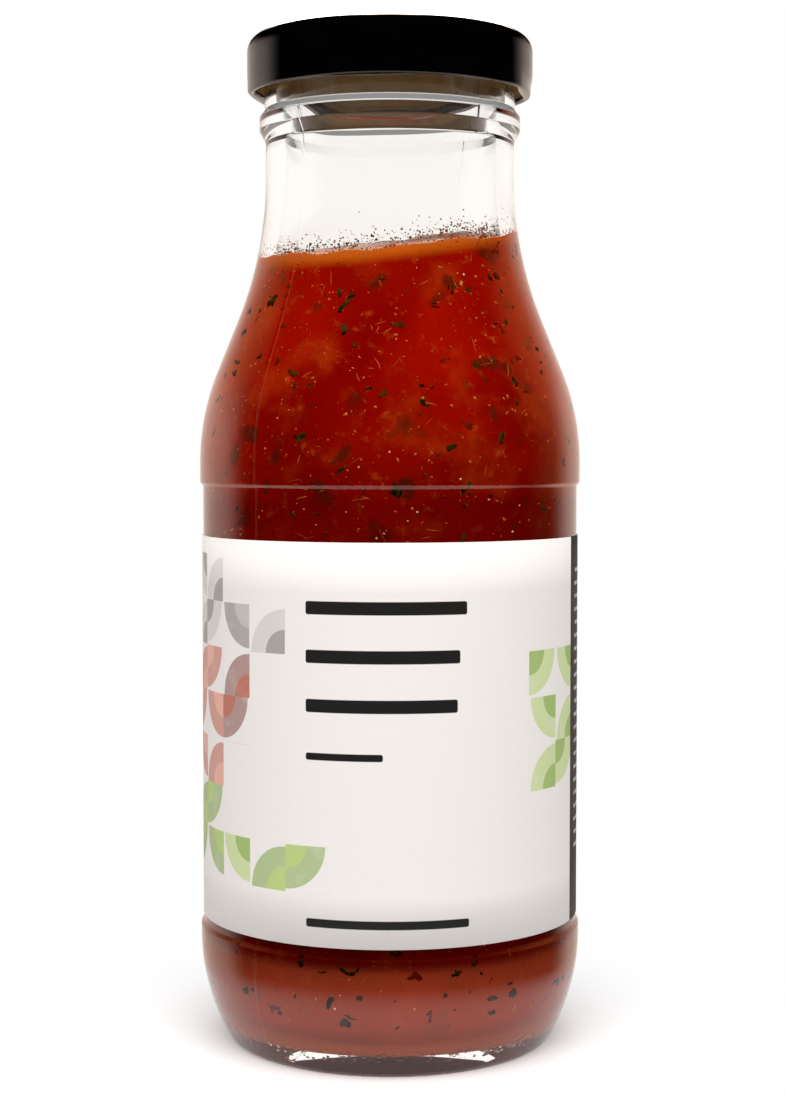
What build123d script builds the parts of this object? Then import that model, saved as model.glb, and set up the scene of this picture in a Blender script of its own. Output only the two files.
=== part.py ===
from build123d import *
import os
from math import atan2, cos, pi, sin, sqrt

# A clear glass bottle of tomato passata with a steel twist-off lid and a wrap-round paper label.
# Millimetres. The origin is on the bottle's axis in the plane it stands on, +Z is up, and the
# middle of the label's front faces -Y. Outlines are drawn in the XZ plane as radius and height,
# and spun round Z. Azimuths are degrees from the front, positive towards +X.

# Standing ring, heel and lower bead
push_up_height = 3.7            # the hollow under the base, at the axis
ring_inner_r = 20.0
ring_inner_round = 1.2
heel_corner_round = 2.4
heel_arc_r = 33.0
bead_r = 30.73
lower_bead_low = 17.6
lower_bead_top = 19.2

# Label panel and upper bead
panel_r = 30.17
panel_low = 19.9
panel_top = 89.9
upper_bead_r = 30.65
upper_bead_low = 90.5
bead_round = 0.5

# Shoulder and neck: an arc that leans in, a straight stretch, and an arc that turns upright
shoulder_start = 93.5
shoulder_arc_r = 39.0
neck_r = 19.91
neck_start = 139.5
neck_arc_r = 61.3

# Finish: transfer bead, sealing wall and thread lugs
transfer_bead_r = 20.9
transfer_bead_foot = 144.6
transfer_bead_low = 146.6
transfer_bead_top = 148.7
transfer_bead_end = 149.7
transfer_foot_round = 1.5
transfer_bead_round = 0.6
finish_r = 20.1
rim_height = 160.55
rim_round = 0.8
thread_count = 4
thread_r = 21.35
thread_height = 1.7
thread_root_depth = 0.6         # how far a rib is sunk into the wall
thread_end_height = 0.15        # share of its full size that a rib has at its ends
thread_end_share = 6            # a sixth of the rib's length swells at each end
thread_low_z = 151.0            # middle of the rib at its lower end
thread_steep_rise = 2.5
thread_total_rise = 3.9
thread_steep_turn = 30.0        # degrees over which the rib climbs fast
thread_turn = 82.0
thread_first_azimuth = 14.0
thread_stations = 13

# Inside of the glass
wall = 2.8
base_centre_height = 6.2        # inside floor at the axis
base_edge_height = 4.6          # inside floor where it meets the corner
base_corner_round = 6.0
bore_r = 17.2

# Sauce: its top leans to +X and to the back, with shallow ripples
level_middle = 128.4
level_rise_x = 0.115
level_rise_y = 0.12
ripple_height = 0.35
ripple_length = 11.0
level_grid = 13

# Label
label_low = 21.0
label_top = 82.0
label_thickness = 0.2
label_gap = 6.0                 # degrees of bare glass between the label's ends
label_gap_azimuth = 180.0

# Lid
lid_r = 22.88
lid_low = 152.2
lid_top = 161.6
lid_thickness = 0.25
lid_corner_round = 2.6
channel_inner_r = 16.6          # the panel inside this is pressed down a little
panel_drop = 0.45
panel_slope = 1.0
curl_r = 0.55
lug_count = 4
lug_inner_r = 20.55
lug_width = 12.0
lug_height = 0.8
lug_first_azimuth = -9.0

# Sealing ring in the lid's channel
seal_inner_r = 17.0
seal_outer_r = 21.0


def spun(outline, turn=360.0):
    """The solid that an outline of radius and height makes when it is turned round Z."""
    return revolve(make_face(outline), axis=Axis.Z, revolution_arc=turn)


def rounded(face, corner, radius):
    """The face with the corner nearest to a point of radius and height rounded."""
    point = Vector(corner[0], 0, corner[1])
    vertex = min(face.vertices(), key=lambda v: (Vector(*v) - point).length)
    return fillet(vertex, radius)


def at(radius, height):
    """A point of an outline, in the XZ plane."""
    return (radius, 0, height)


def outer_heel_r(height):
    """Radius of the heel's arc, which is upright where the lower bead starts."""
    rise = lower_bead_low - height
    return bead_r - heel_arc_r + sqrt(heel_arc_r**2 - rise**2)


def shoulder_outline(grow):
    """The shoulder from the upper bead to the neck, as an arc, a line and an arc.

    It stands out by grow. The two arcs keep their centres, so the inside of the glass, with
    a negative grow, runs at an even distance."""
    convex = Vector(upper_bead_r - shoulder_arc_r, 0, shoulder_start)
    concave = Vector(neck_r + neck_arc_r, 0, neck_start)
    convex_r = shoulder_arc_r + grow
    concave_r = neck_arc_r - grow
    apart = concave - convex
    straight = sqrt(apart.length**2 - (convex_r + concave_r)**2)
    lean = atan2(apart.Z, apart.X) - atan2(straight, convex_r + concave_r)

    def on_convex(angle):
        return convex + Vector(cos(angle), 0, sin(angle)) * convex_r

    def on_concave(angle):
        return concave - Vector(cos(angle), 0, sin(angle)) * concave_r

    lower = ThreePointArc(on_convex(0), on_convex(lean / 2), on_convex(lean))
    middle = Line(on_convex(lean), on_concave(lean))
    upper = ThreePointArc(on_concave(lean), on_concave(lean / 2), on_concave(0))
    return [lower, middle, upper]


def outside_solid():
    """The bottle's outside with its push-up, filled solid."""
    foot_r = outer_heel_r(0)
    half_heel = lower_bead_low / 2
    base = [
        ThreePointArc(
            at(0, push_up_height),
            at(ring_inner_r * 0.55, push_up_height * 0.76),
            at(ring_inner_r, 0),
        ),
        Line(at(ring_inner_r, 0), at(foot_r, 0)),
        ThreePointArc(
            at(foot_r, 0), at(outer_heel_r(half_heel), half_heel), at(bead_r, lower_bead_low)
        ),
    ]
    panel = Polyline(
        at(bead_r, lower_bead_low),
        at(bead_r, lower_bead_top),
        at(panel_r, panel_low),
        at(panel_r, panel_top),
        at(upper_bead_r, upper_bead_low),
        at(upper_bead_r, shoulder_start),
    )
    finish = Polyline(
        at(neck_r, neck_start),
        at(neck_r, transfer_bead_foot),
        at(transfer_bead_r, transfer_bead_low),
        at(transfer_bead_r, transfer_bead_top),
        at(finish_r, transfer_bead_end),
        at(finish_r, rim_height),
        at(0, rim_height),
        at(0, push_up_height),
    )
    face = make_face(base + [panel] + shoulder_outline(0) + [finish])
    face = rounded(face, (ring_inner_r, 0), ring_inner_round)
    face = rounded(face, (foot_r, 0), heel_corner_round)
    face = rounded(face, (bead_r, lower_bead_top), bead_round)
    face = rounded(face, (panel_r, panel_low), bead_round)
    face = rounded(face, (panel_r, panel_top), bead_round)
    face = rounded(face, (upper_bead_r, upper_bead_low), bead_round)
    face = rounded(face, (neck_r, transfer_bead_foot), transfer_foot_round)
    face = rounded(face, (transfer_bead_r, transfer_bead_low), transfer_bead_round)
    face = rounded(face, (transfer_bead_r, transfer_bead_top), transfer_bead_round)
    face = rounded(face, (finish_r, transfer_bead_end), bead_round)
    face = rounded(face, (finish_r, rim_height), rim_round)
    return revolve(face, axis=Axis.Z)


def inside_solid(top):
    """The space inside the glass, from its floor up to a height above the neck's arc."""
    body_r = panel_r - wall
    shoulder_r = upper_bead_r - wall
    floor = ThreePointArc(
        at(0, base_centre_height),
        at(body_r * 0.5, base_centre_height * 0.75 + base_edge_height * 0.25),
        at(body_r, base_edge_height),
    )
    body = Polyline(
        at(body_r, base_edge_height),
        at(body_r, panel_top),
        at(shoulder_r, shoulder_start),
    )
    neck_inner_r = neck_r - wall
    neck = Polyline(
        at(neck_inner_r, neck_start),
        at(bore_r, transfer_bead_low),
        at(bore_r, top),
        at(0, top),
        at(0, base_centre_height),
    )
    face = make_face([floor, body] + shoulder_outline(-wall) + [neck])
    face = rounded(face, (body_r, base_edge_height), base_corner_round)
    return revolve(face, axis=Axis.Z)


def thread_rise(turned):
    """How far a rib has climbed after some degrees: fast at first, then gently."""
    if turned < thread_steep_turn:
        return thread_steep_rise * turned / thread_steep_turn
    left = (turned - thread_steep_turn) / (thread_turn - thread_steep_turn)
    return thread_steep_rise + (thread_total_rise - thread_steep_rise) * left


def thread_rib(first_azimuth):
    """One rib of the thread: sections that swell from a low end to full size and sink again."""
    root = finish_r - thread_root_depth
    sections = []
    for station in range(thread_stations):
        share = station / (thread_stations - 1)
        swell = min(1.0, thread_end_share * share, thread_end_share * (1 - share))
        swell = thread_end_height + (1 - thread_end_height) * swell
        crest = finish_r + (thread_r - finish_r) * swell
        half = thread_height / 2 * (0.5 + 0.5 * swell)
        middle = thread_low_z + thread_rise(share * thread_turn)
        section = Polyline(
            at(root, middle - half),
            at(crest, middle - half * 0.45),
            at(crest, middle + half * 0.45),
            at(root, middle + half),
            close=True,
        )
        azimuth = first_azimuth + share * thread_turn - 90
        sections.append(make_face(section).rotate(Axis.Z, azimuth))
    return loft(sections)


def glass_bottle():
    """Body, neck and finish in one wall, with the thread ribs on the finish."""
    glass = outside_solid() - inside_solid(rim_height + 1)
    for number in range(thread_count):
        glass += thread_rib(thread_first_azimuth + number * 360 / thread_count)
    return glass


def level(x, y):
    """Height of the sauce at a place."""
    ripple = sin(2 * pi * x / ripple_length + 0.6) * cos(2 * pi * y / (1.3 * ripple_length))
    return level_middle + level_rise_x * x + level_rise_y * y + ripple_height * ripple


def sauce():
    """What fills the glass, cut off at its uneven top."""
    reach = neck_r + 4
    spots = [reach * (2 * number / (level_grid - 1) - 1) for number in range(level_grid)]
    rows = [[(x, y, level(x, y)) for x in spots] for y in spots]
    top = Face.make_surface_from_array_of_points(rows)
    air = Solid.extrude(top, Vector(0, 0, rim_height))
    return inside_solid(transfer_bead_low + 1) - air


def label():
    """A band of paper round the panel, whose ends leave a narrow strip of glass."""
    band = Polyline(
        at(panel_r, label_low),
        at(panel_r + label_thickness, label_low),
        at(panel_r + label_thickness, label_top),
        at(panel_r, label_top),
        close=True,
    )
    first = label_gap_azimuth + label_gap / 2 - 90
    return spun(band, 360 - label_gap).rotate(Axis.Z, first)


def lid_outline(inset):
    """Section of the lid's outside, or of its inside when it is set in by the sheet's thickness."""
    edge_r = lid_r - inset
    top = lid_top - inset
    sunk = top - panel_drop
    face = make_face(
        Polyline(
            at(0, lid_low + curl_r),
            at(edge_r, lid_low + curl_r),
            at(edge_r, top),
            at(channel_inner_r, top),
            at(channel_inner_r - panel_slope, sunk),
            at(0, sunk),
            close=True,
        )
    )
    return rounded(face, (edge_r, top), lid_corner_round - inset)


def lid_lug(azimuth):
    """A tab where the curl is pressed in to catch under the thread."""
    outer_r = lid_r - curl_r
    ring = Cylinder(outer_r, lug_height) - Cylinder(lug_inner_r, lug_height)
    window = Pos(outer_r - 1, 0, 0) * Box(4, lug_width, lug_height)
    tab = Pos(0, 0, lid_low + curl_r) * (ring & window)
    return tab.rotate(Axis.Z, azimuth - 90)


def lid():
    """A drawn steel cap: panel, skirt, rolled lower edge and lugs."""
    shell = revolve(lid_outline(0) - lid_outline(lid_thickness), axis=Axis.Z)
    roll = Plane.XZ * Pos(lid_r - curl_r, lid_low + curl_r) * Circle(curl_r)
    cap = shell + revolve(roll, axis=Axis.Z)
    for number in range(lug_count):
        cap += lid_lug(lug_first_azimuth + number * 360 / lug_count)
    return cap


def lid_seal():
    """The soft ring between the lid's channel and the glass rim."""
    section = Polyline(
        at(seal_inner_r, rim_height),
        at(seal_outer_r, rim_height),
        at(seal_outer_r, lid_top),
        at(seal_inner_r, lid_top),
        close=True,
    )
    return spun(section) & revolve(lid_outline(lid_thickness), axis=Axis.Z)


pieces = {
    "glass_bottle": glass_bottle(),
    "sauce": sauce(),
    "label": label(),
    "lid": lid(),
    "lid_seal": lid_seal(),
}

os.makedirs("parts", exist_ok=True)
for name, piece in pieces.items():
    export_step(piece, f"parts/{name}.step")
    print(name, round(piece.volume / 1000, 2), "cm3")
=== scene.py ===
import bpy
import bmesh
import math
import random
from mathutils import Matrix, Vector, noise


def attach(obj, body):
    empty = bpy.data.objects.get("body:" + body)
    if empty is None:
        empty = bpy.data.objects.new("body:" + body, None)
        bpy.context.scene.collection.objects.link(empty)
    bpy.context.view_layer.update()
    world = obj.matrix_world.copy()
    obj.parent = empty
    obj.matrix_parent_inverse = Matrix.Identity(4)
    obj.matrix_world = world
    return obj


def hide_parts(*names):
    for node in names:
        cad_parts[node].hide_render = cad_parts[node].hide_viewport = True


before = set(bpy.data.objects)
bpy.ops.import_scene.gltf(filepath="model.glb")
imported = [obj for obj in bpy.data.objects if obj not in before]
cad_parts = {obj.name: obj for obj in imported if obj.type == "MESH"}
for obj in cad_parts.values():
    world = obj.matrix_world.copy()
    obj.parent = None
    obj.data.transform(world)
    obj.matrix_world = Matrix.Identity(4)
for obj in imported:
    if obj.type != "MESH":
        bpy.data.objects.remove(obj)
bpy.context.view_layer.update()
mm = 0.001


# Shader arithmetic: a Wire is one value in a node tree, and plain Python operators work on it.

class Wire:
    def __init__(self, nodes, socket):
        self.nodes = nodes
        self.socket = socket

    def __add__(self, other):
        return self.nodes.maths("ADD", self, other)

    __radd__ = __add__

    def __sub__(self, other):
        return self.nodes.maths("SUBTRACT", self, other)

    def __rsub__(self, other):
        return self.nodes.maths("SUBTRACT", other, self)

    def __mul__(self, other):
        return self.nodes.maths("MULTIPLY", self, other)

    __rmul__ = __mul__

    def __truediv__(self, other):
        return self.nodes.maths("DIVIDE", self, other)


class Nodes:
    def __init__(self, tree):
        self.tree = tree
        tree.nodes.clear()

    def make(self, kind, sockets, settings):
        made = self.tree.nodes.new("ShaderNode" + kind)
        for name, value in settings.items():
            setattr(made, name, value)
        for name, value in sockets.items():
            socket = made.inputs[name]
            if isinstance(value, Wire):
                self.tree.links.new(value.socket, socket)
            elif socket.type == "RGBA":
                socket.default_value = (*value, 1.0)
            else:
                socket.default_value = value
        return made

    def node(self, kind, sockets={}, output=0, **settings):
        return Wire(self, self.make(kind, sockets, settings).outputs[output])

    def maths(self, operation, first, second=0.0):
        return self.node("Math", {0: first, 1: second}, operation=operation)

    def size(self, value):
        return self.maths("ABSOLUTE", value)

    def ramp(self, value, low, high):
        # 0 below low, 1 above high, eased in between; low may be the larger one
        if low > high:
            return 1 - self.ramp(value, high, low)
        limits = {"Value": value, "From Min": low, "From Max": high}
        return self.node("MapRange", limits, interpolation_type="SMOOTHSTEP")

    def blend(self, first, second, share):
        mixed = {0: share, 6: first, 7: second}
        return self.node("Mix", mixed, output=2, data_type="RGBA")

    def place(self):
        # Object coordinates
        return self.node("TexCoord", output=3)

    def axes(self, vector):
        split = self.make("SeparateXYZ", {0: vector}, {})
        return [Wire(self, socket) for socket in split.outputs]

    def noise(self, scale, detail, rough=0.5):
        settings = {"Vector": self.place(), "Scale": scale, "Detail": detail, "Roughness": rough}
        return self.node("TexNoise", settings)

    def bump(self, height, distance):
        return self.node("Bump", {"Height": height, "Distance": distance, "Strength": 1.0})

    def ray(self, kind):
        # 1 for camera, shadow, glossy or transmission rays, and 0 for the rest
        return self.node("LightPath", output={"camera": 0, "shadow": 1, "glossy": 3, "through": 6}[kind])

    def surface(self, shader):
        self.make("OutputMaterial", {"Surface": shader}, {})


def newPaint(name):
    material = bpy.data.materials.new(name)
    material.use_nodes = True
    return material, Nodes(material.node_tree)


def newObject(name, bm, materials):
    mesh = bpy.data.meshes.new(name)
    bm.to_mesh(mesh)
    bm.free()
    for material in materials:
        mesh.materials.append(material)
    made = bpy.data.objects.new(name, mesh)
    bpy.context.scene.collection.objects.link(made)
    return made


def newPiece(name, bm, materials, replaced=None):
    piece = newObject(name, bm, materials)
    for polygon in piece.data.polygons:
        polygon.use_smooth = True
    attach(piece, "root")
    if replaced:
        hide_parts(replaced)


# Outlines are lists of radius and height in millimetres, spun round Z.

def roundedPath(corners, steps=5):
    # each corner is radius, height and rounding; the two ends stay sharp
    path = [Vector(corners[0][:2])]
    for before, corner, after in zip(corners, corners[1:], corners[2:]):
        point = Vector(corner[:2])
        back = (Vector(before[:2]) - point).normalized()
        ahead = (Vector(after[:2]) - point).normalized()
        half = math.acos(max(-1.0, min(1.0, back.dot(ahead)))) / 2
        cut = corner[2] / math.tan(half)
        centre = point + (back + ahead).normalized() * corner[2] / math.sin(half)
        start = point + back * cut - centre
        end = point + ahead * cut - centre
        for step in range(steps + 1):
            spoke = start.slerp(end, step / steps).normalized()
            path.append(centre + spoke * corner[2])
    path.append(Vector(corners[-1][:2]))
    return path


def arcPath(centre, radius, first, last, steps):
    angles = [first + (last - first) * step / steps for step in range(steps + 1)]
    return [Vector((centre[0] + radius * math.cos(angle), centre[1] + radius * math.sin(angle)))
            for angle in angles]


def joined(*paths):
    # end to end, without the points that repeat
    whole = []
    for path in paths:
        for point in path:
            if not whole or (point - whole[-1]).length > 0.01:
                whole.append(point)
    return whole


def divided(path, longest):
    # extra points on the long stretches
    whole = [path[0]]
    for start, end in zip(path, path[1:]):
        count = max(1, math.ceil((end - start).length / longest))
        whole += [start.lerp(end, step / count) for step in range(1, count + 1)]
    return whole


def spunShell(path, steps, turn=2 * math.pi, first=0.0):
    bm = bmesh.new()
    start = Matrix.Rotation(first, 3, "Z")
    verts = [bm.verts.new(start @ Vector((point.x * mm, 0, point.y * mm))) for point in path]
    edges = [bm.edges.new(pair) for pair in zip(verts, verts[1:])]
    full = abs(turn - 2 * math.pi) < 1e-6
    bmesh.ops.spin(bm, geom=verts + edges, cent=(0, 0, 0), axis=(0, 0, 1), angle=turn,
                   steps=steps, use_merge=full)
    bmesh.ops.remove_doubles(bm, verts=bm.verts[:], dist=1e-7)
    bmesh.ops.recalc_face_normals(bm, faces=bm.faces[:])
    bm.normal_update()
    return bm


def outwardOf(point):
    # level, away from the axis
    return Vector((point.x, point.y, 0)).normalized()


def radiusOf(point):
    return Vector((point.x, point.y)).length / mm


def azimuthOf(point):
    # degrees from the front, positive towards +X
    return math.degrees(math.atan2(point.x, -point.y))


def repeatedGap(azimuth, first, step):
    # degrees to the nearest of a row of places that are one step apart
    return abs((azimuth - first + step / 2) % step - step / 2)


# The glass

glass = {
    "turns": 288, "longest": 4.0, "wall": 2.8,
    # base and heel
    "pushUp": 3.7, "ringInner": 20.0, "ringRound": 1.2, "heelArc": 33.0, "heelCorner": 2.4,
    "domeShare": 0.93, "floorCentre": 5.3, "floorEdge": 3.5, "floorCorner": 5.0,
    # panel between its beads
    "beadR": 30.73, "beadLow": 17.6, "beadTop": 19.2, "panelR": 30.17, "panelLow": 19.9,
    "panelTop": 89.9, "upperBeadR": 30.65, "upperBeadLow": 90.5, "beadRound": 0.45,
    # shoulder and neck
    "shoulderStart": 93.5, "shoulderArc": 39.0, "neckR": 19.91, "neckStart": 139.5,
    "neckArc": 61.3, "bore": 17.2, "waveLow": 131.0, "waveTop": 150.0, "waveDepth": 0.35,
    # transfer bead and finish
    "transferFoot": 144.6, "transferR": 20.9, "transferLow": 146.6, "transferTop": 148.7,
    "transferEnd": 149.7, "footRound": 1.5, "transferRound": 0.6, "finishR": 20.1,
    "finishStep": 0.22, "rim": 160.55, "rimRound": 0.8, "rimWidth": 1.2, "lip": 0.6,
    # mould seam on both sides, in degrees and millimetres
    "seamAzimuth": -42.0, "seamHeight": 0.05, "seamHalf": 0.45,
    "seamCuts": (-0.5, -0.22, 0.0, 0.22, 0.5), "seamLow": 5.0, "seamTop": 149.0,
    # threads, whose turns are in degrees
    "threads": 4, "threadR": 21.35, "threadHeight": 1.7, "threadLow": 151.0,
    "threadFirst": 14.0, "threadTurn": 82.0, "threadSteep": 30.0, "threadSteepRise": 2.5,
    "threadRise": 3.9, "threadTaper": 9.0,
}


def shoulderPath(shape, grow):
    convex = Vector((shape["upperBeadR"] - shape["shoulderArc"], shape["shoulderStart"]))
    concave = Vector((shape["neckR"] + shape["neckArc"], shape["neckStart"]))
    convexR = shape["shoulderArc"] + grow
    concaveR = shape["neckArc"] - grow
    apart = concave - convex
    straight = math.sqrt(apart.length ** 2 - (convexR + concaveR) ** 2)
    lean = math.atan2(apart.y, apart.x) - math.atan2(straight, convexR + concaveR)
    lower = arcPath(convex, convexR, 0, lean, 22)
    upper = arcPath(concave, concaveR, math.pi + lean, math.pi, 26)
    return joined(lower, upper)


def basePath(shape):
    # push-up, standing ring and heel, from the axis to the foot of the lower bead
    heelTop = shape["beadLow"]
    heelCentre = Vector((shape["beadR"] - shape["heelArc"], heelTop))
    corner = shape["heelCorner"]
    reach = math.sqrt((shape["heelArc"] - corner) ** 2 - (heelTop - corner) ** 2)
    cornerCentre = Vector((heelCentre.x + reach, corner))
    lean = math.atan2(corner - heelTop, reach)
    domeR = (shape["ringInner"] ** 2 + shape["pushUp"] ** 2) / (2 * shape["pushUp"])
    domeEdge = math.asin(shape["ringInner"] * shape["domeShare"] / domeR)
    domeCentre = Vector((0, shape["pushUp"] - domeR))
    dome = arcPath(domeCentre, domeR, math.pi / 2, math.pi / 2 - domeEdge, 18)
    ring = roundedPath([dome[-1], (shape["ringInner"], 0, shape["ringRound"]),
                        (cornerCentre.x, 0)])
    heelCorner = arcPath(cornerCentre, corner, -math.pi / 2, lean, 8)
    heel = arcPath(heelCentre, shape["heelArc"], lean, 0, 20)
    return joined(dome, ring, heelCorner, heel)


def outerPath(shape):
    edge = shape["beadRound"]
    panel = roundedPath([
        (shape["beadR"], shape["beadLow"]), (shape["beadR"], shape["beadTop"], edge),
        (shape["panelR"], shape["panelLow"], edge), (shape["panelR"], shape["panelTop"], edge),
        (shape["upperBeadR"], shape["upperBeadLow"], edge),
        (shape["upperBeadR"], shape["shoulderStart"])])
    finish = roundedPath([
        (shape["neckR"], shape["neckStart"]),
        (shape["neckR"], shape["transferFoot"], shape["footRound"]),
        (shape["transferR"], shape["transferLow"], shape["transferRound"]),
        (shape["transferR"], shape["transferTop"], shape["transferRound"]),
        (shape["finishR"], shape["transferEnd"], edge),
        (shape["finishR"], shape["rim"], shape["rimRound"]),
        (shape["bore"] + shape["rimWidth"], shape["rim"])])
    return joined(basePath(shape), panel, shoulderPath(shape, 0), finish)


def innerPath(shape, top):
    # from the axis over the floor and up the wall to a height above the neck
    bodyR = shape["panelR"] - shape["wall"]
    neckR = shape["neckR"] - shape["wall"]
    sag = shape["floorCentre"] - shape["floorEdge"]
    floor = [Vector((bodyR * share, shape["floorCentre"] - sag * share ** 2))
             for share in (step / 14 for step in range(10))]
    corner = roundedPath([floor[-1], (bodyR, shape["floorEdge"], shape["floorCorner"]),
                          (bodyR, 30.0)], 12)
    body = [Vector((bodyR, shape["panelTop"] - 2))]
    neck = [Vector((neckR, shape["neckStart"])), Vector((shape["bore"], shape["transferLow"])),
            Vector((shape["bore"], top))]
    return joined(floor, corner, body, shoulderPath(shape, -shape["wall"]), neck)


def threadLift(shape, azimuth, height):
    # how far the thread ribs stand out of the finish wall at a place
    lift = 0.0
    steepTurn, steepRise = shape["threadSteep"], shape["threadSteepRise"]
    gentle = (shape["threadRise"] - steepRise) / (shape["threadTurn"] - steepTurn)
    for number in range(shape["threads"]):
        turned = (azimuth - shape["threadFirst"] - number * 360 / shape["threads"]) % 360
        if turned > shape["threadTurn"]:
            continue
        rise = steepRise * min(turned, steepTurn) / steepTurn
        middle = shape["threadLow"] + rise + gentle * max(0.0, turned - steepTurn)
        ends = min(turned, shape["threadTurn"] - turned) / shape["threadTaper"]
        swell = min(1.0, ends) ** 0.6
        across = abs(height - middle) / (shape["threadHeight"] / 2 * (0.45 + 0.55 * swell))
        rib = (1 - across ** 4) ** 0.5 if across < 1 else 0.0
        lift = max(lift, rib * swell * (shape["threadR"] - shape["finishR"]))
    return lift


def cutSeam(bm, shape):
    # planes through the axis, so that the seam has edges to rise from
    for offset in shape["seamCuts"]:
        turn = math.radians(shape["seamAzimuth"] + offset)
        across = Vector((math.cos(turn), math.sin(turn), 0))
        bmesh.ops.bisect_plane(bm, geom=bm.verts[:] + bm.edges[:] + bm.faces[:], dist=1e-7,
                               plane_co=(0, 0, 0), plane_no=across)
    bm.normal_update()


def buildGlass(shape):
    outer = outerPath(shape)
    inner = innerPath(shape, shape["rim"] - shape["lip"])
    finishFrom = shape["transferEnd"] + 0.4
    finish = [p for p in outer if p.y >= finishFrom and p.x >= shape["finishR"] - 0.01]
    first = outer.index(finish[0])
    last = first + len(finish)
    outer = joined(outer[:first], divided(finish, shape["finishStep"]), outer[last:])
    lipCentre = (shape["bore"] + shape["lip"], shape["rim"] - shape["lip"])
    lip = arcPath(lipCentre, shape["lip"], math.pi / 2, math.pi, 5)
    outline = divided(joined(outer, lip, inner[::-1]), shape["longest"])
    bm = spunShell(outline, shape["turns"])
    cutSeam(bm, shape)
    for vert in bm.verts:
        height = vert.co.z / mm
        if radiusOf(vert.co) < 1:
            continue
        azimuth = azimuthOf(vert.co)
        outward = outwardOf(vert.co)
        facing = vert.normal.dot(outward)
        if facing > 0.1 and shape["seamLow"] < height < shape["seamTop"]:
            side = repeatedGap(azimuth, shape["seamAzimuth"], 180)
            ridge = max(0.0, 1 - side / shape["seamHalf"])
            vert.co += outward * shape["seamHeight"] * mm * ridge
        if facing > 0.1 and height > finishFrom:
            vert.co += outward * threadLift(shape, azimuth, height) * mm
        if facing < -0.2 and shape["waveLow"] < height < shape["waveTop"]:
            # the inner wall of blown glass is never quite true
            fade = min(1.0, (height - shape["waveLow"]) / 5, (shape["waveTop"] - height) / 8)
            wave = noise.noise(Vector((outward.x * 1.7, outward.y * 1.7, height / 13)))
            vert.co += outward * wave * shape["waveDepth"] * mm * fade
    return bm


def glassPaint():
    material, nodes = newPaint("clearGlass")
    # painted shade: the glass colour turns darker toward grazing angles, standing in for the darker
    # surroundings seen through its edges
    facing = nodes.node("LayerWeight", {"Blend": 0.35}, output=1)
    tintAndEdgeShade = nodes.blend((0.985, 0.992, 0.985), (0.80, 0.82, 0.79), nodes.ramp(facing, 0.45, 1.0))
    z = nodes.axes(nodes.place())[2]
    ripple = nodes.noise(70, 1.0) * nodes.ramp(z, 0.09, 0.12)
    speck = nodes.node("TexVoronoi", {"Vector": nodes.place(), "Scale": 1100.0})
    # a band of moulded dots above the foot
    stipple = nodes.ramp(speck, 0.42, 0.2) * nodes.ramp(z, 0.0028, 0.0034)
    stipple = stipple * nodes.ramp(z, 0.0056, 0.0048)
    shader = nodes.node("BsdfPrincipled", {
        "Base Color": tintAndEdgeShade, "Roughness": 0.0, "Transmission Weight": 1.0, "IOR": 1.52,
        "Normal": nodes.bump(ripple + stipple * 0.5, 0.00012)})
    clear = nodes.node("BsdfTransparent", {"Color": (0.97, 0.98, 0.97)})
    nodes.surface(nodes.node("MixShader", {0: nodes.ray("shadow"), 1: shader, 2: clear}))
    return material


print("stage: glass")
newPiece("glassBody", buildGlass(glass), [glassPaint()], "glass_bottle")


# The sauce, up to an uneven level that leans to +X and to the back

sauce = {
    "middle": 128.4, "riseX": 0.115, "riseY": 0.12, "lumps": 0.9, "lumpSize": 3.6,
    "swellSize": 9.0, "reach": 0.07, "turns": 240, "longest": 2.0, "topRings": 10,
    "floorR": 20.0, "cornerTop": 14.0,
    # above followFrom the wall is stretched from the plain foot height to the level
    "followFrom": 112.0, "foot": 134.0,
}

innerOutline = innerPath(glass, glass["rim"])
innerWall = innerOutline[innerOutline.index(min(innerOutline, key=lambda point: point.y)):]


def wallRadius(height):
    for low, high in zip(innerWall, innerWall[1:]):
        if low.y <= height <= high.y and high.y > low.y:
            return low.x + (high.x - low.x) * (height - low.y) / (high.y - low.y)
    return glass["bore"]


def levelAt(shape, x, y):
    lump = noise.noise(Vector((x, y, 3.0)) / shape["lumpSize"])
    swell = noise.noise(Vector((x, y, 9.0)) / shape["swellSize"])
    return (shape["middle"] + shape["riseX"] * x + shape["riseY"] * y
            + shape["lumps"] * (0.6 * lump + 0.8 * swell))


def levelOnWall(shape, azimuth, height):
    # the level where it meets the glass, for a wall as wide as at that height
    turn = math.radians(azimuth)
    radius = wallRadius(height)
    return levelAt(shape, radius * math.sin(turn), -radius * math.cos(turn))


def buildSauce(shape):
    reach = shape["reach"]
    low, foot = shape["followFrom"], shape["foot"]
    path = []
    for point in innerOutline:
        if point.y < foot:
            onFloor = point.x < shape["floorR"] and point.y < shape["floorR"]
            sink = reach if point.y < shape["cornerTop"] else 0.0
            path.append(point + Vector((0.0 if onFloor else reach, -sink)))
    topR = wallRadius(foot) + reach
    rings = shape["topRings"]
    top = [Vector((topR * (1 - step / rings), foot)) for step in range(rings + 1)]
    bm = spunShell(joined(divided(path, shape["longest"]), top), shape["turns"])
    for vert in bm.verts:
        height = vert.co.z / mm
        if height <= low:
            continue
        outward = Vector((vert.co.x, vert.co.y, 0)) / mm
        onTop = outward.length / (wallRadius(height) + reach)
        level = levelAt(shape, outward.x, outward.y)
        newHeight = low + (level - low) * (height - low) / (foot - low)
        radius = (wallRadius(newHeight) + reach) * min(1.0, onTop)
        vert.co = (outward.normalized() * radius + Vector((0, 0, newHeight))) * mm
    return bm


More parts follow.
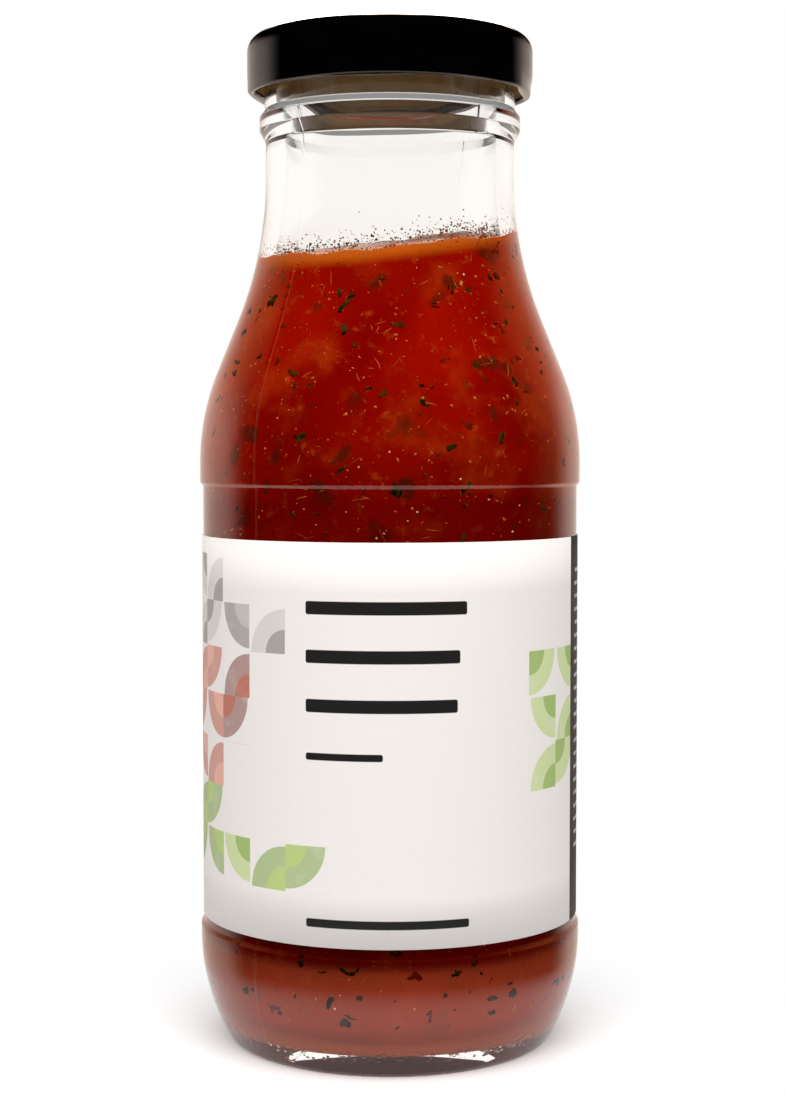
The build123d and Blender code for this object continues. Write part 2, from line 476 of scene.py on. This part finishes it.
def saucePaint(shape):
    material, nodes = newPaint("tomatoSauce")
    x, y, z = nodes.axes(nodes.place())
    pulp = nodes.noise(420, 4.0, 0.65)
    patches = nodes.noise(120, 3.0)
    clouds = nodes.noise(45, 2.0)
    deep = nodes.noise(210, 1.5, 0.4)
    colour = nodes.blend((0.19, 0.0008, 0.0), (0.30, 0.0035, 0.0), nodes.ramp(clouds, 0.35, 0.65))
    colour = nodes.blend(colour, (0.42, 0.040, 0.0035), nodes.ramp(patches, 0.50, 0.75) * 0.5)
    colour = nodes.blend(colour, (0.48, 0.075, 0.008), nodes.ramp(pulp, 0.56, 0.78) * 0.6)
    colour = nodes.blend(colour, (0.050, 0.008, 0.002), nodes.ramp(deep, 0.60, 0.72) * 0.75)
    # painted light: paler where it is seen at a slant, standing in for light scattered into the sauce at
    # the glass's edge
    slantLight = nodes.ramp(nodes.node("LayerWeight", {"Blend": 0.5}, output=1), 0.14, 0.36)
    colour = nodes.blend(colour, (0.60, 0.125, 0.040), slantLight * 0.9)
    # painted light and shade: paler in the heel, as if lit from the floor below, and darker round the
    # panel, as if in the label's shade and away from the light above
    low = nodes.ramp(z, 0.0188, 0.0165)
    colour = nodes.blend(colour, (0.50, 0.085, 0.030), low * 0.6)
    panelShade = nodes.ramp(z, 0.0905, 0.0865) * (1 - low)
    colour = nodes.blend(colour, (0.12, 0.0, 0.0), panelShade * 0.55)
    # a bright orange film along the level
    under = (x * shape["riseX"] + y * shape["riseY"]) + shape["middle"] * mm - z
    film = nodes.ramp(under, 0.0024, 0.0002)
    colour = nodes.blend(colour, (0.60, 0.12, 0.006), film * 0.85)
    nodes.surface(nodes.node("BsdfPrincipled", {
        "Base Color": colour, "Roughness": 0.5, "Specular IOR Level": 0.0,
        "Coat Weight": nodes.ramp(under, 0.001, -0.001) * 0.8, "Coat Roughness": 0.08,
        "Normal": nodes.bump(pulp, 0.0002)}))
    return material


print("stage: sauce")
newPiece("sauceFill", buildSauce(sauce), [saucePaint(sauce)], "sauce")


# Herbs, strands, grains, bubbles and spatter that lie against the inside of the glass.
# The sauce shows in two stretches: above the label, and in the heel.

shown = {"heelShare": 0.24, "heel": (8.5, 21.5), "shoulder": (81.0, 132.0)}


def wallFrame(azimuth, height, outset, spin):
    # a frame on the inner wall: X and Y along it, Z out of the bottle
    turn = math.radians(azimuth)
    outward = Vector((math.sin(turn), -math.cos(turn), 0))
    slope = (wallRadius(height + 0.4) - wallRadius(height - 0.4)) / 0.8
    along = Vector((math.cos(turn), math.sin(turn), 0))
    up = (outward * slope + Vector((0, 0, 1))).normalized()
    normal = along.cross(up).normalized()
    spot = outward * (wallRadius(height) + outset) + Vector((0, 0, height))
    axes = Matrix((along, up, normal)).transposed().to_4x4()
    return Matrix.Translation(spot * mm) @ axes @ Matrix.Rotation(spin, 4, "Z")


def spotOnWall(draw, below):
    # an azimuth and a height at least so far below the level
    while True:
        azimuth = draw.uniform(-180, 180)
        stretch = "heel" if draw.random() < shown["heelShare"] else "shoulder"
        height = draw.uniform(*shown[stretch])
        if height < levelOnWall(sauce, azimuth, min(height, 130)) - below:
            return azimuth, height


def scatterFlakes(draw, shape):
    bm = bmesh.new()
    longest, shortest = shape["longest"], shape["shortest"]
    for number in range(shape["count"]):
        azimuth, height = spotOnWall(draw, longest * 0.4)
        length = shortest + (longest - shortest) * draw.random() ** 2.2
        width = length * draw.uniform(shape["slimness"], min(1.0, shape["slimness"] * 2))
        place = wallFrame(azimuth, height, shape["outset"], draw.uniform(0, math.pi))
        size = Matrix.Diagonal((length / 2 * mm, width / 2 * mm, shape["thickness"] / 2 * mm, 1))
        made = bmesh.ops.create_icosphere(bm, subdivisions=shape["fineness"], radius=1.0)["verts"]
        seed = Vector((draw.uniform(0, 99), draw.uniform(0, 99), draw.uniform(0, 99)))
        for vert in made:
            push = 1 + shape["raggedness"] * noise.noise(vert.co * 1.3 + seed)
            vert.co = place @ size @ (vert.co * push)
    return bm


def scatterStrands(draw, shape):
    # thin tapered tubes that wander along the wall
    bm = bmesh.new()
    steps = shape["steps"]
    for number in range(shape["count"]):
        azimuth, height = spotOnWall(draw, 1.5)
        length = draw.uniform(shape["shortest"], shape["longest"])
        bend = draw.uniform(-0.5, 0.5) / length * 2
        heading = draw.uniform(0, math.pi)
        stride = length / steps
        ring = None
        for step in range(steps + 1):
            taper = 0.35 + math.sin(math.pi * step / steps)
            thick = shape["width"] * taper * draw.uniform(0.85, 1.1)
            place = wallFrame(azimuth, height, 0.0, heading - math.pi / 2)
            turned = place @ Matrix.Rotation(math.pi / 2, 4, "X")
            made = bmesh.ops.create_circle(bm, segments=shape["sides"], radius=thick / 2 * mm,
                                           matrix=turned, cap_ends=False)["verts"]
            edges = list({edge for vert in made for edge in vert.link_edges})
            if ring:
                bmesh.ops.bridge_loops(bm, edges=ring + edges)
            else:
                bmesh.ops.contextual_create(bm, geom=made)
            ring = edges
            azimuth += math.degrees(math.cos(heading) * stride / wallRadius(height))
            height += math.sin(heading) * stride
            heading += bend * stride + draw.uniform(-0.12, 0.12)
        bmesh.ops.contextual_create(bm, geom=made)
    bmesh.ops.recalc_face_normals(bm, faces=bm.faces[:])
    return bm


def flakePaint(name, shape):
    material, nodes = newPaint(name)
    tone = nodes.ramp(nodes.noise(shape["grain"], 2.0), 0.35, 0.65)
    colour = nodes.blend(shape["dark"], shape["light"], tone)
    sunk = nodes.ramp(nodes.noise(90, 1.0), 0.5, 0.72)
    colour = nodes.blend(colour, (0.17, 0.006, 0.001), sunk * shape["veil"])
    nodes.surface(nodes.node("BsdfPrincipled", {
        "Base Color": colour, "Roughness": shape["matt"], "Specular IOR Level": 0.0,
        "Normal": nodes.bump(tone, 0.00005)}))
    return material


print("stage: herbs, crumbs, strands and grains")
draw = random.Random(20)

herbFlakes = {
    "count": 560, "longest": 2.6, "shortest": 0.4, "slimness": 0.4, "thickness": 0.2,
    "outset": 0.0, "raggedness": 0.9, "fineness": 2, "matt": 0.6, "veil": 0.85, "grain": 900,
    "dark": (0.012, 0.004, 0.001), "light": (0.050, 0.030, 0.004),
}
newPiece("herbFlakes", scatterFlakes(draw, herbFlakes), [flakePaint("driedHerb", herbFlakes)])

pulpCrumbs = {
    "count": 1900, "longest": 0.8, "shortest": 0.15, "slimness": 0.45, "thickness": 0.16,
    "outset": 0.03, "raggedness": 0.6, "fineness": 1, "matt": 0.5, "veil": 0.7, "grain": 500,
    "dark": (0.36, 0.060, 0.010), "light": (0.60, 0.19, 0.035),
}
newPiece("pulpCrumbs", scatterFlakes(draw, pulpCrumbs), [flakePaint("pulpCrumb", pulpCrumbs)])

pulpStrands = {
    "count": 260, "longest": 4.2, "shortest": 0.9, "width": 0.17, "steps": 8, "sides": 5,
    "matt": 0.5, "veil": 0.9, "grain": 300,
    "dark": (0.40, 0.035, 0.004), "light": (0.50, 0.12, 0.018),
}
newPiece("pulpStrands", scatterStrands(draw, pulpStrands), [flakePaint("pulpStrand", pulpStrands)])

paleGrains = {
    "count": 60, "longest": 0.5, "shortest": 0.25, "slimness": 0.7, "thickness": 0.3,
    "outset": 0.08, "raggedness": 0.1, "fineness": 1, "matt": 0.4, "veil": 0.2, "grain": 300,
    "dark": (0.75, 0.35, 0.16), "light": (0.85, 0.62, 0.40),
}
newPiece("paleGrains", scatterFlakes(draw, paleGrains), [flakePaint("paleGrain", paleGrains)])


airBubbles = {"count": 60, "smallest": 0.22, "largest": 0.42, "rise": 0.08, "sink": 0.10}


def buildBubbles(draw, shape):
    # small raised rings with a dished middle
    bm = bmesh.new()
    for number in range(shape["count"]):
        azimuth, height = spotOnWall(draw, 1.0)
        size = draw.uniform(shape["smallest"], shape["largest"])
        place = wallFrame(azimuth, height, 0.05, 0)
        made = bmesh.ops.create_circle(bm, segments=14, radius=size * mm, matrix=place,
                                       cap_ends=True)
        face = made["verts"][0].link_faces[0]
        bmesh.ops.inset_region(bm, faces=[face], thickness=size * 0.3 * mm,
                               depth=shape["rise"] * mm)
        bmesh.ops.inset_region(bm, faces=[face], thickness=size * 0.25 * mm,
                               depth=-shape["sink"] * mm)
    return bm


def bubblePaint():
    material, nodes = newPaint("airBubble")
    speck = nodes.ramp(nodes.noise(2600, 0.0), 0.45, 0.6)
    colour = nodes.blend((0.025, 0.002, 0.001), (0.45, 0.16, 0.05), speck)
    nodes.surface(nodes.node("BsdfPrincipled", {
        "Base Color": colour, "Roughness": 0.15, "Coat Weight": 0.5}))
    return material


wallSpatter = {
    "count": 900, "smallest": 0.05, "largest": 0.2, "bigShare": 0.1, "bigger": 1.8,
    "height": 0.8, "thickness": 0.16, "outset": -0.05, "highest": 137.0,
    "matt": 0.25, "veil": 0.3, "grain": 700,
    "dark": (0.10, 0.030, 0.006), "light": (0.55, 0.22, 0.05),
}


def buildSpatter(draw, shape):
    # droplets on the wall just above the sauce
    bm = bmesh.new()
    for number in range(shape["count"]):
        azimuth = draw.uniform(-180, 180)
        level = levelOnWall(sauce, azimuth, 129)
        height = level + 0.05 + draw.expovariate(1 / shape["height"])
        if height > shape["highest"]:
            continue
        size = draw.uniform(shape["smallest"], shape["largest"])
        if draw.random() >= 1 - shape["bigShare"]:
            size *= shape["bigger"]
        place = wallFrame(azimuth, height, shape["outset"], draw.uniform(0, math.pi))
        stretch = Matrix.Diagonal((size * mm, size * draw.uniform(0.5, 1.0) * mm,
                                   shape["thickness"] * mm, 1))
        bmesh.ops.create_icosphere(bm, subdivisions=1, radius=1.0, matrix=place @ stretch)
    return bm


print("stage: bubbles and spatter")
newPiece("airBubbles", buildBubbles(draw, airBubbles), [bubblePaint()])
newPiece("wallSpatter", buildSpatter(draw, wallSpatter), [flakePaint("spatter", wallSpatter)])


# The label. Its print is laid out in millimetres along it, from the front, and up it.

label = {
    "low": 21.0, "top": 82.0, "thick": 0.2, "lift": 0.01, "gap": 6.0, "turns": 300,
    "ink": (0.012, 0.011, 0.011), "paper": (0.76, 0.72, 0.69), "charcoal": (0.028, 0.024, 0.022),
    "brick": (0.50, 0.115, 0.055), "rust": (0.24, 0.055, 0.035), "blush": (0.78, 0.42, 0.32),
    "leaf": (0.22, 0.36, 0.045), "lime": (0.46, 0.58, 0.17), "grey": (0.22, 0.19, 0.17),
    "silver": (0.55, 0.51, 0.49), "dash": (0.60, 0.58, 0.56), "charcoalFrom": 70.0,
    "rulePitch": 2.1, "tile": 7.2, "leftCorner": (-45.4, 29.0), "rightCorner": (23.6, 43.4),
    # fields of tiles: first and last column, first and last row, turn, disc and core
    "leftTiles": [
        (0, 2, 0, 2, 0, "leaf", "lime"), (0, 2, 2, 5, 1, "brick", "blush"),
        (0, 2, 5, 7, 2, "silver", "grey"), (2, 3, 0, 1, 1, "lime", "leaf"),
        (2, 3, 3, 5, 0, "rust", "brick"), (2, 3, 5, 6, 1, "grey", "silver"),
        (3, 5, 0, 1, 2, "leaf", "lime"), (3, 4, 5, 6, 2, "silver", "grey")],
    "rightTiles": [(0, 2, 0, 3, 2, "lime", "leaf")],
    # plain rules where the lines of text would be: left, right, bottom and top
    "rules": [
        (-13.0, 11.9, 71.2, 73.2), (-13.0, 10.8, 63.9, 65.9), (-13.0, 10.4, 56.5, 58.5),
        (-13.0, -1.0, 49.3, 50.4), (-13.0, 12.3, 24.0, 25.3)],
}


def buildLabel(shape):
    inner = glass["panelR"] + shape["lift"]
    outer = glass["panelR"] + shape["thick"] - shape["lift"]
    low, top = shape["low"], shape["top"]
    path = divided([Vector((inner, low)), Vector((outer, low)), Vector((outer, top)),
                    Vector((inner, top)), Vector((inner, low))], 8.0)
    turn = math.radians(360 - shape["gap"])
    bm = spunShell(path, shape["turns"], turn, math.radians(90 + shape["gap"] / 2))
    bmesh.ops.holes_fill(bm, edges=[edge for edge in bm.edges if edge.is_boundary], sides=0)
    bmesh.ops.recalc_face_normals(bm, faces=bm.faces[:])
    return bm


def field(nodes, across, up, left, right, bottom, top, corner=0.25):
    # 1 inside a rectangle with rounded corners
    dx = nodes.size(across - (left + right) / 2) - ((right - left) / 2 - corner)
    dy = nodes.size(up - (bottom + top) / 2) - ((top - bottom) / 2 - corner)
    dx = nodes.maths("MAXIMUM", dx, 0.0)
    dy = nodes.maths("MAXIMUM", dy, 0.0)
    distance = nodes.maths("SQRT", dx * dx + dy * dy)
    return nodes.ramp(distance, corner + 0.06, corner - 0.06)


def quarterDiscs(nodes, across, up, left, bottom, size, turnBy):
    # one quarter disc to a square, turned this way and that, with a smaller one in it
    column = (across - left) / size
    row = (up - bottom) / size
    number = nodes.maths("FLOOR", column) + turnBy + nodes.maths("FLOOR", row) * 2.0
    turn = nodes.maths("FLOORED_MODULO", number, 3.0)
    u = nodes.size(nodes.maths("FRACT", column) - nodes.ramp(turn, 0.5, 0.6))
    v = nodes.size(nodes.maths("FRACT", row) - nodes.ramp(turn, 1.6, 1.5))
    distance = nodes.maths("SQRT", u * u + v * v)
    return nodes.ramp(distance, 0.95, 0.93), nodes.ramp(distance, 0.52, 0.50)


def tilePrint(nodes, shape, colour, across, up, cornerName, tilesName):
    size = shape["tile"]
    wash = nodes.ramp(nodes.noise(260, 3.0, 0.6), 0.50, 0.85) * 0.35
    for firstColumn, lastColumn, firstRow, lastRow, turnBy, main, accent in shape[tilesName]:
        left, right = (shape[cornerName][0] + column * size for column in (firstColumn, lastColumn))
        bottom, top = (shape[cornerName][1] + row * size for row in (firstRow, lastRow))
        disc, core = quarterDiscs(nodes, across, up, left, bottom, size, turnBy)
        inside = field(nodes, across, up, left, right, bottom, top, 0.02)
        tone = nodes.blend(shape[main], shape["paper"], wash)
        colour = nodes.blend(colour, tone, disc * inside * 0.94)
        colour = nodes.blend(colour, shape[accent], core * inside * 0.9)
    return colour


def backPrint(nodes, shape, colour, across, up):
    # charcoal with rows of fine light dashes, and a bare panel
    edge = math.radians(shape["charcoalFrom"]) * (glass["panelR"] + shape["thick"])
    row = nodes.maths("FRACT", up / shape["rulePitch"])
    line = nodes.ramp(row, 0.34, 0.38) * nodes.ramp(row, 0.66, 0.62)
    lineNumber = nodes.maths("FLOOR", up / shape["rulePitch"])
    broken = nodes.maths("FRACT", nodes.maths("SINE", lineNumber * 12.9) * 4.7)
    word = nodes.maths("FRACT", across / (3.1 + broken * 1.3) + broken)
    dashes = line * nodes.ramp(word, 0.12, 0.14)
    dashes = dashes * field(nodes, across, up, edge + 2.6, edge + 30.0, 31.0, 77.0, 0.1)
    charcoal = nodes.blend(shape["charcoal"], shape["dash"], dashes * 0.7)
    colour = nodes.blend(colour, charcoal, nodes.ramp(across, edge - 0.05, edge + 0.05))
    plain = field(nodes, across, up, edge + 35.0, edge + 49.0, 33.0, 51.0, 0.8)
    return nodes.blend(colour, shape["paper"], plain)


def labelPaint(shape):
    material, nodes = newPaint("labelPaper")
    x, y, z = nodes.axes(nodes.place())
    across = nodes.maths("ARCTAN2", x, y * -1.0) * (glass["panelR"] + shape["thick"])
    up = z / mm
    grain = nodes.noise(1500, 3.0, 0.7)
    colour = nodes.blend(shape["paper"], (0.68, 0.645, 0.615), nodes.ramp(grain, 0.5, 0.9) * 0.5)
    colour = tilePrint(nodes, shape, colour, across, up, "leftCorner", "leftTiles")
    colour = tilePrint(nodes, shape, colour, across, up, "rightCorner", "rightTiles")
    for rule in shape["rules"]:
        colour = nodes.blend(colour, shape["ink"], field(nodes, across, up, *rule, 0.35))
    colour = backPrint(nodes, shape, colour, across, up)
    fibres = nodes.noise(900, 4.0, 0.75)
    nodes.surface(nodes.node("BsdfPrincipled", {
        "Base Color": colour, "Roughness": 0.55 + nodes.ramp(fibres, 0.2, 0.8) * 0.12,
        "Specular IOR Level": 0.3, "Normal": nodes.bump(fibres, 0.00003)}))
    return material


print("stage: label")
newPiece("paperLabel", buildLabel(label), [labelPaint(label)], "label")


# The lid

lid = {
    "radius": 22.88, "low": 152.2, "top": 161.6, "sheet": 0.25, "corner": 2.6,
    "channelInner": 16.6, "drop": 0.45, "slope": 1.0, "panelRound": 0.8, "channelRound": 0.6,
    "curl": 0.55, "curlNeck": 0.25, "curlNeckRound": 0.15, "turns": 240, "longest": 1.0,
    # lugs, pressed in from the curl up to lugHigh, whose turns are in degrees
    "lugs": 4, "firstLug": -9.0, "lugHalf": 17.0, "lugReach": 1.15, "dent": 0.42, "lugHigh": 2.6,
}


def lidPath(shape):
    outerTop = shape["top"]
    innerTop = outerTop - shape["sheet"]
    wall = shape["radius"]
    inset = wall - shape["sheet"]
    panelR = shape["channelInner"] - shape["slope"]
    curlCentre = Vector((wall - shape["curl"], shape["low"] + shape["curl"]))
    curlTop = curlCentre.y + shape["curl"]
    outside = roundedPath([
        (0, outerTop - shape["drop"]), (panelR, outerTop - shape["drop"], shape["panelRound"]),
        (shape["channelInner"], outerTop, shape["channelRound"]),
        (wall, outerTop, shape["corner"]), (wall, curlCentre.y)], 8)
    curl = arcPath(curlCentre, shape["curl"], 0, -1.5 * math.pi, 14)
    inside = roundedPath([
        (curlCentre.x, curlTop), (inset, curlTop + shape["curlNeck"], shape["curlNeckRound"]),
        (inset, innerTop, shape["corner"] - shape["sheet"]),
        (shape["channelInner"], innerTop, shape["channelRound"]),
        (panelR, innerTop - shape["drop"], shape["panelRound"]),
        (0, innerTop - shape["drop"])], 8)
    return divided(joined(outside, curl, inside), shape["longest"])


def buildLid(shape):
    bm = spunShell(lidPath(shape), shape["turns"])
    for face in bm.faces:
        # gold lacquer inside, black enamel outside; the slope on the lid's top comes out gold too
        middle = face.calc_center_median()
        high = middle.z / mm - shape["low"]
        inward = face.normal.dot(outwardOf(middle)) < -0.3 and high > 0.9
        below = face.normal.z < -0.3 and high > 3
        face.material_index = 1 if inward or below else 0
    for vert in bm.verts:
        up = (vert.co.z / mm - shape["low"]) / shape["lugHigh"]
        side = repeatedGap(azimuthOf(vert.co), shape["firstLug"], 360 / shape["lugs"])
        if side > shape["lugHalf"] or up > 1:
            continue
        window = 0.5 + 0.5 * math.cos(math.pi * side / shape["lugHalf"])
        inside = (shape["radius"] - radiusOf(vert.co)) / (2 * shape["curl"])
        deep = max(0.0, min(1.0, inside))
        press = shape["dent"] + (shape["lugReach"] - shape["dent"]) * deep
        fade = 1 - max(0.0, (up - 0.4) / 0.6) ** 1.5
        vert.co -= outwardOf(vert.co) * press * window ** 0.5 * fade * mm
    return bm


def enamelPaint():
    material, nodes = newPaint("blackEnamel")
    wear = nodes.ramp(nodes.noise(160, 3.0), 0.45, 0.75)
    colour = nodes.blend((0.0004, 0.0004, 0.0004), (0.0008, 0.0008, 0.0008), wear)
    nodes.surface(nodes.node("BsdfPrincipled", {
        "Base Color": colour, "Roughness": 0.05 + wear * 0.03, "IOR": 1.5,
        "Normal": nodes.bump(nodes.noise(700, 2.0), 0.000004)}))
    return material


def lacquerPaint():
    material, nodes = newPaint("goldLacquer")
    patchy = nodes.ramp(nodes.noise(240, 3.0), 0.3, 0.7)
    colour = nodes.blend((0.55, 0.36, 0.15), (0.68, 0.46, 0.20), patchy)
    nodes.surface(nodes.node("BsdfPrincipled", {
        "Base Color": colour, "Metallic": 0.55, "Roughness": 0.28 + patchy * 0.1}))
    return material


def sealPaint():
    material, nodes = newPaint("sealCompound")
    soft = nodes.ramp(nodes.noise(400, 2.0), 0.3, 0.7)
    colour = nodes.blend((0.50, 0.44, 0.34), (0.60, 0.54, 0.43), soft)
    nodes.surface(nodes.node("BsdfPrincipled", {
        "Base Color": colour, "Roughness": 0.6, "Normal": nodes.bump(soft, 0.00002)}))
    return material


print("stage: lid and seal")
newPiece("twistLid", buildLid(lid), [enamelPaint(), lacquerPaint()], "lid")
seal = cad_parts["lid_seal"]
seal.data.materials.clear()
seal.data.materials.append(sealPaint())


# Studio: a pale floor, a soft light, a surround that the glass and the lid mirror, and the camera

studio = {
    "floorHalf": 3.0, "nearFloor": 0.055, "farFloor": 0.075, "ambient": 0.55,
    # white sides in degrees from the front, and half the width of their soft edges
    "leftWhite": 108.0, "leftSoft": 12.0, "rightWhite": 127.0, "rightSoft": 14.0,
    "sideStrength": 0.95, "underStrength": 1.5, "shineStrength": 16.0,
    "lampSpot": (0, -0.42, 0.92), "lampAim": (0, 0, 0.09), "lampSize": (0.7, 0.6),
    "lampPower": 10.4, "lens": 69.7, "cameraSpot": (0.0005, -0.3454, 0.0973),
    "cameraDown": 2.97,
}


def buildFloor(shape):
    # plain near the bottle, glowing white farther off, and mirrored only close by
    bm = bmesh.new()
    bmesh.ops.create_grid(bm, x_segments=8, y_segments=8, size=shape["floorHalf"])
    material, nodes = newPaint("paleFloor")
    x, y = nodes.axes(nodes.place())[:2]
    away = nodes.maths("SQRT", x * x + y * y)
    pale = nodes.node("BsdfDiffuse", {"Color": (0.86, 0.855, 0.85)})
    far = nodes.node("Emission", {"Color": (1.0, 1.0, 1.0),
                                  "Strength": 1 - 0.7 * nodes.ray("through")})
    share = nodes.ramp(away, 0.02, shape["farFloor"])
    seen = nodes.node("MixShader", {0: share, 1: pale, 2: far})
    near = shape["nearFloor"]
    unseen = nodes.ray("glossy") * (1 - nodes.ray("through"))
    unseen = unseen * nodes.ramp(away, near - 0.012, near + 0.012)
    gone = nodes.node("BsdfTransparent", {"Color": (1.0, 1.0, 1.0)})
    nodes.surface(nodes.node("MixShader", {0: unseen, 1: seen, 2: gone}))
    newObject("floor", bm, [material])


def buildSurround(shape):
    world = bpy.data.worlds.new("surround")
    bpy.context.scene.world = world
    world.use_nodes = True
    nodes = Nodes(world.node_tree)
    x, y, z = nodes.axes(nodes.node("TexCoord"))
    turned = nodes.maths("ARCTAN2", x, y * -1.0)

    def beyond(value, middle, soft):
        return nodes.ramp(value, math.radians(middle - soft), math.radians(middle + soft))

    # what gloss mirrors: white sides, a white below, and a bright patch high behind
    sides = beyond(turned * -1.0, shape["leftWhite"], shape["leftSoft"])
    sides = sides + beyond(turned, shape["rightWhite"], shape["rightSoft"])
    behind = beyond(nodes.size(turned), 155, 5) * nodes.ramp(z, 0.22, 0.27)
    sides = sides * nodes.ramp(z, 0.42, 0.10) * (1 - behind)
    shine = beyond(nodes.size(turned), 168.5, 2.5)
    shine = shine * nodes.ramp(z, 0.34, 0.42) * nodes.ramp(z, 0.92, 0.84)
    mirrored = sides * shape["sideStrength"] + shine * shape["shineStrength"]
    mirrored = mirrored + nodes.ramp(z, -0.6, -0.85) * shape["underStrength"]
    through = 0.5 + 0.6 * nodes.ramp(y, -0.35, 0.25)
    ambient = shape["ambient"] * (0.75 + 0.5 * nodes.ramp(z, -0.2, 0.8))

    isCamera = nodes.ray("camera")
    isThrough = nodes.ray("through")
    isMirror = nodes.ray("glossy") * (1 - isThrough)
    isDiffuse = 1 - nodes.maths("MINIMUM", isCamera + isMirror + isThrough, 1.0)
    strength = isCamera + isThrough * through + isMirror * mirrored + isDiffuse * ambient
    warm = nodes.blend((1.0, 1.0, 1.0), (1.0, 0.84, 0.74), isMirror)
    warm = nodes.blend(warm, (1.0, 0.955, 0.915), isThrough)
    shader = nodes.node("Background", {"Color": warm, "Strength": strength})
    nodes.make("OutputWorld", {"Surface": shader}, {})


def buildLamp(shape):
    lamp = bpy.data.lights.new("frontTop", "AREA")
    lamp.shape = "RECTANGLE"
    lamp.size, lamp.size_y = shape["lampSize"]
    lamp.energy = shape["lampPower"]
    box = bpy.data.objects.new("frontTop", lamp)
    box.location = shape["lampSpot"]
    ahead = Vector(shape["lampAim"]) - Vector(shape["lampSpot"])
    box.rotation_euler = ahead.to_track_quat("-Z", "Y").to_euler()
    box.visible_glossy = False
    box.visible_camera = False
    box.visible_transmission = False
    bpy.context.scene.collection.objects.link(box)


def buildCamera(shape):
    camera = bpy.data.objects.new("camera", bpy.data.cameras.new("camera"))
    camera.data.lens = shape["lens"]
    camera.data.sensor_width = 36.0
    camera.data.clip_start = 0.01
    camera.location = shape["cameraSpot"]
    camera.rotation_euler = (math.radians(90 - shape["cameraDown"]), 0, 0)
    bpy.context.scene.collection.objects.link(camera)
    bpy.context.scene.camera = camera


print("stage: studio")
buildFloor(studio)
buildSurround(studio)
buildLamp(studio)
buildCamera(studio)
bpy.context.scene.view_settings.view_transform = "Standard"
bpy.context.scene.view_settings.look = "None"
